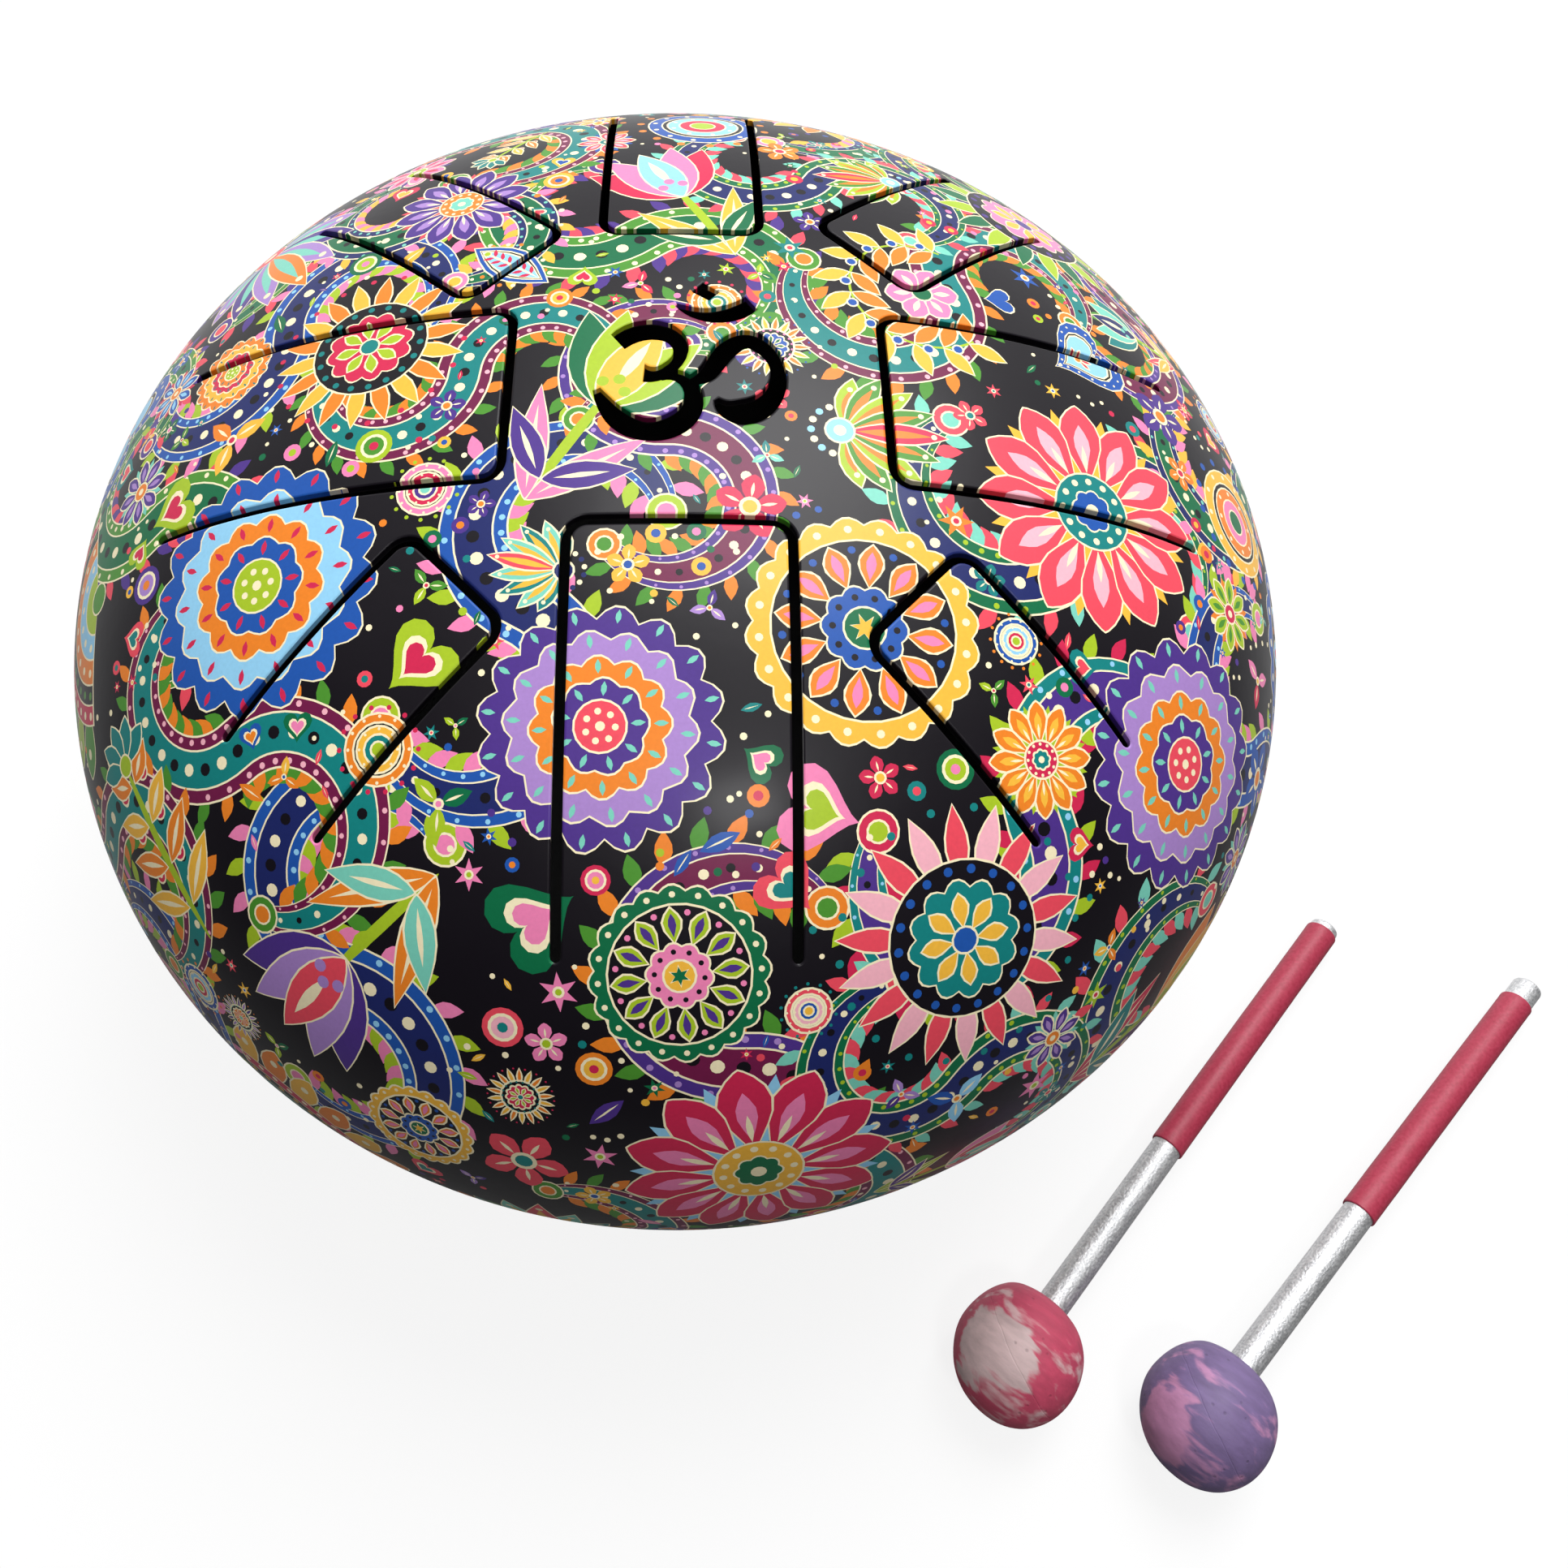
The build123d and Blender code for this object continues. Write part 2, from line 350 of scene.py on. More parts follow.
def almond(art):
    for side in (1, -1):
        for k in range(7):
            t = (k + 1) / 8
            spot = (side * 0.60 * math.sin(math.pi * t), 0.92 * (2 * t - 1))
            art.bead((3, "cream")[k % 2], 0.05, spot)
    for ink, reach, width in ((1, 1.0, 0.94), ("ground", 0.84, 0.70), (2, 0.78, 0.56)):
        art.petal(ink, upright, -reach, reach, width)
    for k in range(6):
        for side in (1, -1):
            art.leaf(4, math.radians(90 - side * 48), 0.02, 0.25, 0.09, 0.9, foot=(0, -0.55 + 0.19 * k))
    art.leaf("cream", upright, -0.72, 0.72, 0.06, 1.0, 0.5)
    art.disc(5, 0.09, (0, 0.62))


def hearts(art):
    art.lined(1, art.heart, 0.96)
    for spot in art.heart(0.80):
        art.bead("cream", 0.03, spot)
    art.lined("ground", art.heart, 0.68)
    art.lined(2, art.heart, 0.60)
    for k in range(5):
        art.petal(4, math.radians(18 + 36 * k), 0.02, 0.34, 0.13, 1.3, foot=(0, -0.12))
    art.disc(3, 0.1, (0, -0.12))


def fan(art):
    foot = (0, -0.55)
    start, end, side_line = math.radians(12), math.radians(168), 0.03

    def spread(count):
        return start + (end - start) * (np.arange(count) + 0.5) / count

    for k, way in enumerate(spread(9)):
        art.petal(1 if k % 2 else 2, way, 0.8, 1.45, 0.34, 1.5, 0.75, foot=foot)
        art.bead("cream", 0.045, polar(1.24, way) + foot)
    for outer, ink in ((1.02, 3), (0.86, "ground"), (0.70, 4), (0.50, 5), (0.30, 1)):
        art.sector("cream", 0.0, outer, start, end, foot)
        art.sector(ink, 0.0, outer - line / art.size, start + side_line, end - side_line, foot)
    for ring, count, ink in ((0.94, 15, "cream"), (0.78, 13, 2), (0.60, 9, "cream"), (0.4, 6, "cream")):
        art.beads(ink, spread(count), ring, 0.034, foot)
    art.disc(2, 0.14, foot)


def garland(art):
    art.sector("lime", 0.62, 0.62 + 1.4 * line / art.size, math.radians(150), math.radians(390))
    for k in range(11):
        way = math.radians(155 + 23 * k)
        for side, ink in ((1, 1), (-1, 2)):
            art.petal(ink, way + upright - side, 0.0, 0.36, 0.17, 0.9, foot=polar(0.63, way))
    for k in range(10):
        art.disc(3, 0.055, polar(0.66, math.radians(166 + 23 * k)))
    for way in around(6, 0.5):
        art.petal(4, way, 0.02, 0.34, 0.26, 1.5, 0.8)
        art.leaf("cream", way, 0.1, 0.26, 0.06)
    art.disc(5, 0.1)
    art.lined(3, lambda radius: art.heart(radius) + (0, 0.72), 0.16)


def spray(art):
    art.leaf("lime", upright, -1.0, 0.6, 0.08, 1.0, 0.5)
    for k in range(4):
        level, reach = -0.72 + 0.36 * k, 0.66 - 0.08 * k
        for side in (1, -1):
            way = math.radians(90 - side * 56)
            art.petal(1 if k % 2 else 2, way, 0.03, reach, 0.22, 0.9, foot=(0, level))
            art.leaf("cream", way, 0.1, reach - 0.12, 0.045, foot=(0, level))
            spot = polar(0.32, math.radians(90 - side * 22)) * (1.5, 1) + (0, level + 0.1)
            art.disc(3, 0.075, spot)
            art.bead("cream", 0.028, spot)
    for k in range(5):
        art.petal(4, math.radians(22 + 34 * k), 0.0, 0.42, 0.2, 1.3, 0.9, foot=(0, 0.55))
    art.disc(5, 0.1, (0, 0.57))


def berry(art):
    art.beads(3, around(14), 0.93, 0.06)
    for ink, share in ((1, 0.82), ("ground", 0.62), (2, 0.54), (4, 0.36), (5, 0.2)):
        art.disc(ink, share)
    art.beads("cream", around(12), 0.72, 0.04)
    art.beads("cream", around(8), 0.45, 0.035)


def rosette(art):
    for way in around(8, 0.5):
        art.leaf(4, way, 0.3, 0.95, 0.22)
    for way in around(8):
        art.petal(1, way, 0.1, 1.0, 0.46, 1.4, 0.8)
        art.leaf(2, way, 0.3, 0.78, 0.16, 1.2)
    art.disc(3, 0.28)
    art.bead("cream", 0.1)


def blossom(art):
    for way in around(5):
        art.leaf(1, way, 0.05, 1.0, 0.66, 1.4, 0.75)
        art.leaf("cream", way, 0.3, 0.75, 0.1)
    art.bead("cream", 0.3)
    art.bead(3, 0.2)


def eyelet(art):
    for ink, share in ((1, 1.0), ("cream", 0.72), (2, 0.56), (3, 0.26)):
        art.bead(ink, share)


def trefoil(art):
    for way, ink in ((90, 1), (205, 2), (335, 2)):
        art.leaf(ink, math.radians(way), 0.08, 1.0, 0.5, 0.9)
        art.leaf("cream", math.radians(way), 0.2, 0.74, 0.09)
    art.bead("cream", 0.16)
    art.bead(3, 0.09)


def spark(art):
    art.add(1, star(1.0, 0.42))
    art.bead("cream", 0.3)
    art.bead(3, 0.17)


def charm(art):
    for ink, share in ((1, 1.0), ("cream", 0.62), (3, 0.46)):
        art.add(ink, art.heart(share))


def leaflet(art):
    art.leaf(1, 0.0, -1.0, 1.0, 0.8)
    art.leaf("cream", 0.0, -0.7, 0.7, 0.11)


def seedling(art):
    art.bead(1, 1.0)
    art.bead(3, 0.45)


def dot(art):
    smallest_coloured = 0.62
    art.bead(1 if art.size > smallest_coloured else "cream", 1.0)


def scroll(art):
    """A tapering S-shaped ribbon with beads along it and leaves on both its edges."""
    bend = np.linspace(0, math.radians(235), 33)
    hook = 0.46 * np.stack([1 - np.cos(bend), np.sin(bend)], 1)
    spine = np.vstack([-hook[::-1], hook[1:]])
    run = unit(np.gradient(spine, axis=0))
    off = np.stack([-run[:, 1], run[:, 0]], 1)
    taper = np.sin(math.pi * (0.06 + 0.88 * np.linspace(0, 1, len(spine)))) ** 0.7
    edge = off * taper[:, None]
    stations = range(2, len(spine) - 1, 2)
    inset, narrowest, least_bead = (length / art.size for length in (line, 0.05, 0.2))
    for k in stations:
        for side in (1, -1):
            lean = math.atan2(run[k, 1], run[k, 0]) + side * 0.95
            art.leaf(3 + k // 2 % 2, lean, 0.0, 0.16, 0.08, 0.9, foot=spine[k] + side * 0.15 * edge[k])
    for ink, width in (("cream", 0.36), (1, 0.36 - 2 * inset), ("cream", 0.21), (5, 0.21 - 2 * inset)):
        half = off * np.maximum(taper * width / 2, narrowest)[:, None]
        art.add(ink, np.vstack([spine + half, (spine - half)[::-1]]))
    for k in stations:
        for side in (1, -1):
            art.bead(2, max(0.017 * taper[k], least_bead), spine[k] + side * 0.143 * edge[k])
        art.bead(("ground", "cream")[k // 2 % 2], max(0.034 * taper[k], least_bead), spine[k])
    for end in (0, -1):
        art.disc(3, 0.10, spine[end])
        art.disc(4, 0.055, spine[end])


# Drum shells, the print's layout. Ribbons lie lowest, and flowers are scattered over them from
# large to small wherever one fits; those at the equator run on from the dome to the bowl.
large_flowers = [marigold, wheel, daisy, lotus, sunburst, tulip, fan, almond, garland, hearts, spray]
middling_flowers = [berry, rosette, tulip, wheel, almond, daisy, spray, lotus, fan, hearts, marigold]
layers = [  # motifs, smallest and largest size, least gap between two, tries at placing one
    ([scroll], 28.0, 35.0, -27.0, 600),
    (large_flowers, 16.0, 23.0, -0.6, 700),
    (middling_flowers, 9.0, 14.5, -0.2, 1600),
    ([rosette, berry, trefoil, blossom, charm, sunburst], 4.6, 7.6, 0.2, 3500),
    ([blossom, eyelet, trefoil, spark, charm, leaflet], 2.3, 3.8, 0.3, 6000),
    ([seedling, leaflet, spark], 1.1, 1.8, 0.3, 7000),
    ([dot], 0.42, 0.75, 0.3, 7000),
]
chance = random.Random(23)
skins = [dome_outside, bowl_outside]
areas = [np.cumsum(skin.radius * np.gradient(skin.reach)) for skin in skins]
dome_share = areas[0][-1] / (areas[0][-1] + areas[1][-1])
whole_reach = dome_outside.edge + bowl_outside.edge
shapes = [[], []]
centres, sizes = np.zeros((0, 3)), np.zeros(0)
for motifs, smallest, largest, gap, tries in layers:
    count = 0
    for attempt in range(tries):
        size = largest - (largest - smallest) * attempt / tries
        half = 0 if chance.random() < dome_share else 1
        skin = skins[half]
        reach = float(np.interp(chance.random() * areas[half][-1], areas[half], skin.reach))
        way = chance.uniform(-math.pi, math.pi)
        tilt = chance.uniform(-math.pi, math.pi)
        spot = polar(reach, way)
        centre = skin.lift(spot[None])[0]
        if np.any(np.linalg.norm(centres - centre, axis=1) < sizes + size + gap):
            continue
        centres, sizes = np.vstack([centres, centre]), np.append(sizes, size)
        motif = motifs[count % len(motifs)]
        count += 1
        art = Motif(size, chance.choice(ribbon_schemes if motif is scroll else schemes))
        motif(art)
        stretch = reach / max(math.hypot(centre[0], centre[1]), 1e-6)
        for ink, outline in art.shapes:
            flat = spin(spin(outline, tilt) * [1, stretch], way, spot)
            away = np.hypot(*flat.T)
            shapes[half].append((ink, flat))
            if away.max() > skin.edge:
                shapes[1 - half].append((ink, flat * ((whole_reach - away) / away)[:, None]))
    if scroll in motifs:  # flowers may cover the ribbons
        centres, sizes = np.zeros((0, 3)), np.zeros(0)


# Drum shells, the pieces. Each is a closed skin of sheet thickness whose outer faces follow the
# outlines of the print, so that every ink has a crisp edge; the slits' upper edges are eased.
edge_count = 300
print_spacing, print_margin = 7.0, 1.0  # of the loose spots on the printed face
lining_spacing, lining_margin = 9.0, 4.0  # of the loose spots on the inner face
rim_share, rim_gap = 0.75, 0.5  # how far these keep off the middle of an edge of its rim
merging = 0.004  # spots nearer than this are one
slack = 0.045  # how far a border may move when its spots are thinned out
longest_run = 6.0
thinning_sweeps = 5
lip = 0.4  # eased width along a cut
lip_rows = (0.35, 1.0)  # shares of it that have a row of spots
lip_drop = 0.16
lip_lean = 0.8
on_edge = 0.05  # spots this near a cut's outline lie on it
equator_reach = 0.2
ease = 0.8  # share of the wall under a cut's edge that carries the print's ink
off_sheet = -1


def within(points, outline):
    x, y = points[:, 0, None], points[:, 1, None]
    x0, y0 = outline.T
    x1, y1 = np.roll(outline, -1, 0).T
    rise = np.where(y1 == y0, 1e-12, y1 - y0)
    crossed = ((y0 > y) != (y1 > y)) & (x < x0 + (y - y0) * (x1 - x0) / rise)
    return crossed.sum(1) % 2 == 1


def distance_to(points, outline):
    """Distance from each point to a closed outline, and the way to its nearest spot."""
    a, b = outline, np.roll(outline, -1, 0)
    run = b - a
    share = ((points[:, None] - a) * run).sum(2) / np.maximum((run ** 2).sum(1), 1e-12)
    nearest = a + run * np.clip(share, 0, 1)[:, :, None]
    gaps = np.linalg.norm(points[:, None] - nearest, axis=2)
    best = gaps.argmin(1)
    rows = np.arange(len(points))
    return gaps[rows, best], nearest[rows, best] - points


def grown(outline, by):
    """An outline moved out by a distance, and held back at its sharp corners."""
    sharpest, sharp = 0.3, 1.2
    run = unit(outline - np.roll(outline, 1, 0)) + unit(np.roll(outline, -1, 0) - outline)
    size = np.linalg.norm(run, axis=1, keepdims=True)
    out = np.stack([run[:, 1], -run[:, 0]], 1) / np.maximum(size, sharpest)
    return outline + by * out * 2 / np.maximum(size, sharp)


def rings(skin, spacing, limit):
    spots = [np.zeros((1, 2))]
    for reach in np.arange(spacing, limit, spacing):
        girth = 2 * math.pi * np.interp(reach, skin.reach, skin.radius)
        spots.append(polar(reach, around(max(6, int(girth / spacing))) + reach))
    return np.vstack(spots)


def triangulate(spots, edges, outlines):
    points, edges = [spots], list(edges)
    count = len(spots)
    for outline in outlines:
        points.append(outline)
        ids = list(range(count, count + len(outline)))
        edges += zip(ids, ids[1:] + ids[:1])
        count += len(outline)
    made = delaunay_2d_cdt([Vector(point) for point in np.vstack(points)], edges, [], 0, merging, True)
    return np.array(made[0]), np.array(made[2])


def paint(spots, drawing):
    """The ink at each spot, which is that of the last shape drawn over it."""
    order = np.argsort(spots[:, 0])
    across = spots[order, 0]
    colour = np.zeros(len(spots), int)
    for ink, outline in drawing:
        low, high = outline.min(0), outline.max(0)
        near = order[np.searchsorted(across, low[0]):np.searchsorted(across, high[0])]
        near = near[(spots[near, 1] > low[1]) & (spots[near, 1] < high[1])]
        colour[near[within(spots[near], outline)]] = ink_names.index(ink)
    return colour


def on_sheet(spots, edge, loops):
    kept = within(spots, edge)
    for loop in loops:
        near = np.flatnonzero(np.all((spots > loop.min(0)) & (spots < loop.max(0)), 1))
        kept[near[within(spots[near], loop)]] = False
    return kept


def ink_borders(flat, faces, colour):
    """The lines between different inks, without the spots along their straight runs."""
    pairs, which = np.unique(np.sort(sides_of(faces), 1), axis=0, return_inverse=True)
    lowest, highest = np.full(len(pairs), len(inks)), np.full(len(pairs), off_sheet - 1)
    np.minimum.at(lowest, which.ravel(), np.tile(colour, 3))
    np.maximum.at(highest, which.ravel(), np.tile(colour, 3))
    links = {}
    for a, b in pairs[lowest != highest].tolist():
        links.setdefault(a, set()).add(b)
        links.setdefault(b, set()).add(a)
    for sweep in range(thinning_sweeps):
        fixed = set()
        for spot in list(links):
            if spot in fixed or len(links[spot]) != 2:
                continue
            a, b = links[spot]
            run, reach = flat[b] - flat[a], flat[spot] - flat[a]
            length = math.hypot(*run)
            if b in links[a] or not 1e-9 < length < longest_run:
                continue
            if abs(run[0] * reach[1] - run[1] * reach[0]) < slack * length:
                del links[spot]
                links[a] ^= {spot, b}
                links[b] ^= {spot, a}
                fixed |= {a, b}
    number = {spot: k for k, spot in enumerate(links)}
    edges = [(number[a], number[b]) for a in links for b in links[a] if a < b]
    return flat[list(links)], edges


def printed_face(outer, loops, drawing):
    """The outer face, drawn flat: its spots, its triangles and the ink of each."""
    rim = polar(outer.edge, around(edge_count))
    flat, faces = triangulate(np.zeros((0, 2)), [], [rim, *loops, *(outline for ink, outline in drawing)])
    middles = flat[faces].mean(1)
    colour = np.where(on_sheet(middles, rim, loops), paint(middles, drawing), off_sheet)
    borders, edges = ink_borders(flat, faces, colour)
    lips = [grown(loop, share * lip) for loop in loops for share in lip_rows]
    loose = rings(outer, print_spacing, outer.edge - print_margin)
    flat, faces = triangulate(np.vstack([borders, loose]), edges, lips)
    middles = flat[faces].mean(1)
    kept = on_sheet(middles, rim, loops)
    used, faces = np.unique(faces[kept], return_inverse=True)
    return flat[used], faces.reshape(-1, 3), paint(middles[kept], drawing)


def eased_face(outer, flat, loops):
    """The outer face in its place, and the way that it faces, both bent down along the cuts."""
    top, up = outer.lift(flat), outer.normals(flat)
    for loop in loops:
        near = np.flatnonzero(np.all((flat > loop.min(0) - lip) & (flat < loop.max(0) + lip), 1))
        gap, toward = distance_to(flat[near], loop)
        near, toward, gap = near[gap < lip], toward[gap < lip], gap[gap < lip]
        top[near] -= up[near] * (lip_drop * (1 - gap / lip) ** 2)[:, None]
        at_edge = np.flatnonzero(gap < on_edge)
        corner = np.linalg.norm(flat[near[at_edge], None] - loop, axis=2).argmin(1)
        toward[at_edge] = (loop - grown(loop, lip))[corner]
        lean = np.zeros((len(near), 3))
        lean[:, :2] = unit(toward)
        up[near] += lean * (lip_lean * (1 - gap / lip))[:, None]
    return top, unit(up)


def inner_face(outer, inner, cuts, rim, edges):
    """The inner face, drawn flat under the outer one's rim: its spots and its triangles."""
    plan = outer.lift(rim)[:, :2]
    radius = np.hypot(*plan.T)
    at_equator = radius > drum_radius - equator_reach
    plan[at_equator] *= ((drum_radius - wall) / radius[at_equator])[:, None]
    rim = inner.flatten(plan)
    loose = rings(inner, lining_spacing, inner.edge - lining_margin)
    clear = np.ones(len(loose), bool)
    for a, b in zip(rim[edges[:, 0]], rim[edges[:, 1]]):
        clear &= np.hypot(*(loose - (a + b) / 2).T) > rim_share * math.dist(a, b) + rim_gap
    spots = np.vstack([rim, loose[clear]])
    made = delaunay_2d_cdt([Vector(spot) for spot in spots], edges.tolist(), [], 0, 1e-5, True)
    origin = np.array([ids[0] if ids else -1 for ids in made[3]])
    faces = origin[np.array(made[2])]
    faces = faces[(faces >= 0).all(1)]
    loops = [inner.flatten(cut) for cut in cuts]
    return spots, faces[on_sheet(spots[faces].mean(1), polar(inner.edge, around(edge_count)), loops)]


def linear(code):
    """An ink's code as linear red, green and blue, and full alpha."""
    parts = np.array([int(code[i:i + 2], 16) for i in (0, 2, 4)]) / 255
    return [*((parts + 0.055) / 1.055) ** 2.4, 1.0]


def shell(name, outer, inner, cuts, drawing):
    loops = [outer.flatten(cut) for cut in cuts]
    flat, faces, colour = printed_face(outer, loops, drawing)
    top, up = eased_face(outer, flat, loops)
    sides = sides_of(faces)
    _, first, times = np.unique(np.sort(sides, 1), axis=0, return_index=True, return_counts=True)
    first = first[times == 1]
    border, border_colour = sides[first], colour[first % len(faces)]
    rim = np.unique(border)
    below = np.searchsorted(rim, border)
    spots, lining = inner_face(outer, inner, cuts, flat[rim], below)

    under, under_up = inner.lift(spots), -inner.normals(spots)
    shelf = top[rim] + (under[:len(rim)] - top[rim]) * ease
    deep_start = len(top) + len(rim)
    (a, b), (shelf_a, shelf_b), (deep_a, deep_b) = border.T, len(top) + below.T, deep_start + below.T
    groups = [
        faces, np.stack([b, a, shelf_a, shelf_b], 1), np.stack([shelf_b, shelf_a, deep_a, deep_b], 1),
        lining[:, ::-1] + deep_start,
    ]
    if outer.facing < 0:
        groups = [group[:, ::-1] for group in groups]
    mesh = bpy.data.meshes.new(name)
    polygons = [face for group in groups for face in group.tolist()]
    mesh.from_pydata((np.vstack([top, shelf, under]) * mm).tolist(), [], polygons)

    finishes = np.repeat([0, 1, 2], [len(faces) + len(border), len(border), len(lining)])
    mesh.polygons.foreach_set("material_index", finishes.astype(np.int32))
    mesh.polygons.foreach_set("use_smooth", np.ones(len(polygons), bool))
    shades = np.concatenate([colour, border_colour, np.zeros(len(border) + len(lining), int)])
    counts = np.concatenate([np.full(len(group), group.shape[1]) for group in groups])
    palette = np.array([linear(code) for code in inks.values()])
    mesh.color_attributes.new("ink", "FLOAT_COLOR", "CORNER")
    mesh.color_attributes["ink"].data.foreach_set("color", palette[np.repeat(shades, counts)].ravel())

    outer_corners, lining_corners = groups[0].ravel(), groups[3].ravel() - deep_start
    walls = mesh.polygons[len(faces):len(faces) + 2 * len(border)]
    wall_ways = np.repeat([polygon.normal for polygon in walls], 4, axis=0)
    mesh.normals_split_custom_set(
        np.vstack([up[outer_corners], wall_ways, under_up[lining_corners]]).tolist())

    # On the sheet for baking, the outer face lies in the middle, with the walls and the inner face
    # small in two corners.
    cell = np.arange(len(walls))
    columns = int(math.ceil(math.sqrt(len(cell))))
    cell_corner = np.stack([cell % columns, cell // columns], 1)[:, None]
    square = np.array([[0.1, 0.1], [0.9, 0.1], [0.9, 0.9], [0.1, 0.9]])
    sheet = np.vstack([
        0.5 + 0.49 * flat[outer_corners] / outer.edge,
        (0.005 + 0.12 * (cell_corner + square) / columns).reshape(-1, 2),
        0.93 + 0.06 * spots[lining_corners] / inner.edge,
    ])
    mesh.uv_layers.new(name="OFBake").data.foreach_set("uv", sheet.ravel())
    mesh.update()
    piece = bpy.data.objects.new(name, mesh)
    bpy.context.scene.collection.objects.link(piece)
    return piece


dome = shell("printed_dome", dome_outside, dome_inside, dome_cuts, shapes[0])
bowl = shell("printed_bowl", bowl_outside, bowl_inside, bowl_cuts, shapes[1])
for piece, node in ((dome, "top_shell"), (bowl, "bottom_shell")):
    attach(piece, "drum")
    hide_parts(node)


# Drum shells, the finish. Satin clear lacquer lies over the print with a faint orange peel; the cut
# edges are black lacquer and the inside is a matt black primer.
class Wire:
    """A value in a shader. Arithmetic on wires makes Math nodes, and make() makes any other node."""

    def __init__(self, tree, socket):
        self.tree, self.socket = tree, socket

    def make(self, kind, inputs, output=0, **settings):
        node = self.tree.nodes.new("ShaderNode" + kind)
        for name, value in settings.items():
            setattr(node, name, value)
        for name, value in inputs.items():
            if isinstance(value, Wire):
                self.tree.links.new(value.socket, node.inputs[name])
            else:
                node.inputs[name].default_value = value
        return Wire(self.tree, node.outputs[output])

    def math(self, operation, first, second):
        return self.make("Math", {0: first, 1: second}, operation=operation)

    def __add__(self, other):
        return self.math("ADD", self, other)

    def __sub__(self, other):
        return self.math("SUBTRACT", self, other)

    def __mul__(self, other):
        return self.math("MULTIPLY", self, other)

    def __truediv__(self, other):
        return self.math("DIVIDE", self, other)

    def __pow__(self, other):
        return self.math("POWER", self, other)

    def __radd__(self, other):
        return self.math("ADD", other, self)

    def __rsub__(self, other):
        return self.math("SUBTRACT", other, self)

    def __rmul__(self, other):
        return self.math("MULTIPLY", other, self)

    def __rtruediv__(self, other):
        return self.math("DIVIDE", other, self)

    def __rpow__(self, other):
        return self.math("POWER", other, self)


def new_material(name, **constants):
    material = bpy.data.materials.new(name)
    material.use_nodes = True
    tree = material.node_tree
    shader = tree.nodes["Principled BSDF"]
    for socket, value in constants.items():
        shader.inputs[socket.replace("_", " ")].default_value = value
    place = Wire(tree, tree.nodes.new("ShaderNodeTexCoord").outputs["Object"])

    def feed(socket, wire):
        tree.links.new(wire.socket, shader.inputs[socket])

    return material, place, feed


def noise(place, scale, detail, distortion=0.0):
    return place.make("TexNoise", {
        "Vector": place, "Scale": scale, "Detail": detail, "Distortion": distortion,
    })


def blend(share, low, high):
    return share.make("Mix", {0: share, 6: (*low, 1), 7: (*high, 1)}, 2, data_type="RGBA")


def shaded(colour, factor):
    return colour.make("VectorMath", {0: colour, "Scale": factor}, operation="SCALE")


def bump(height, strength, depth):
    return height.make("Bump", {"Strength": strength, "Distance": depth * mm, "Height": height})


lacquer, place, feed = new_material("print_under_lacquer", Coat_Roughness=0.16, Coat_IOR=1.35, IOR=1.30)
film = place.make("Attribute", {}, "Color", attribute_name="ink")
grain = noise(place, 1500.0, 2.0)
drift = noise(place, 55.0, 3.0)
peel = noise(place, 420.0, 1.0)
feed("Base Color", shaded(film, 0.86 + 0.16 * grain + 0.08 * drift))
feed("Roughness", 0.34 + 0.12 * drift)
feed("Coat Weight", 0.04 + 0.14 * drift)
feed("Normal", bump(peel, 0.06, 0.3))

cut_edge, place, feed = new_material("cut_edge_lacquer")
grain = noise(place, 900.0, 2.0)
feed("Base Color", blend(grain, (0.005, 0.005, 0.006), (0.016, 0.014, 0.017)))
feed("Roughness", 0.35 + 0.2 * grain)

primer, place, feed = new_material("inner_primer")
grain = noise(place, 700.0, 3.0)
feed("Base Color", blend(grain, (0.008, 0.008, 0.009), (0.02, 0.02, 0.021)))
feed("Roughness", 0.7 + 0.2 * grain)
for piece in (dome, bowl):
    for material in (lacquer, cut_edge, primer):
        piece.data.materials.append(material)


# Rubber feet. Four moulded black rubber feet with a bead round the top, a grooved sole and a recess
# for the screw head. Each is turned from its section of radius and height in millimetres: a point is
# extruded along it and spun.
turning_steps = 64
crease = math.radians(32)


def turned(name, section, steps):
    bpy.ops.object.select_all(action="DESELECT")
    bpy.ops.mesh.primitive_plane_add(size=mm)
    piece = bpy.context.object
    piece.name = piece.data.name = name
    bpy.ops.object.mode_set(mode="EDIT")
    bpy.ops.mesh.select_all(action="SELECT")
    bpy.ops.mesh.merge(type="CENTER")
    bpy.ops.transform.translate(value=(section[0][0] * mm, 0, section[0][1] * mm))
    for (r0, z0), (r1, z1) in zip(section, section[1:]):
        step = ((r1 - r0) * mm, 0, (z1 - z0) * mm)
        bpy.ops.mesh.extrude_vertices_move(TRANSFORM_OT_translate={"value": step})
    bpy.ops.mesh.select_all(action="SELECT")
    bpy.ops.mesh.spin(steps=steps, angle=2 * math.pi, center=(0, 0, 0), axis=(0, 0, 1))
    bpy.ops.mesh.select_all(action="SELECT")
    bpy.ops.mesh.remove_doubles(threshold=1e-6)
    bpy.ops.mesh.normals_make_consistent(inside=False)
    bpy.ops.object.mode_set(mode="OBJECT")
    bpy.ops.object.shade_smooth_by_angle(angle=crease)
    return piece


def pick(piece):
    bpy.ops.object.select_all(action="DESELECT")
    piece.select_set(True)
    bpy.context.view_layer.objects.active = piece


def settle(piece, matrix):
    """Moves a piece to its place and leaves its origin at the frame's own."""
    piece.matrix_world = matrix
    pick(piece)
    bpy.ops.object.transform_apply(location=True, rotation=True, scale=True)


def copy_of(piece):
    copy = piece.copy()
    copy.data = piece.data.copy()
    bpy.context.scene.collection.objects.link(copy)
    return copy


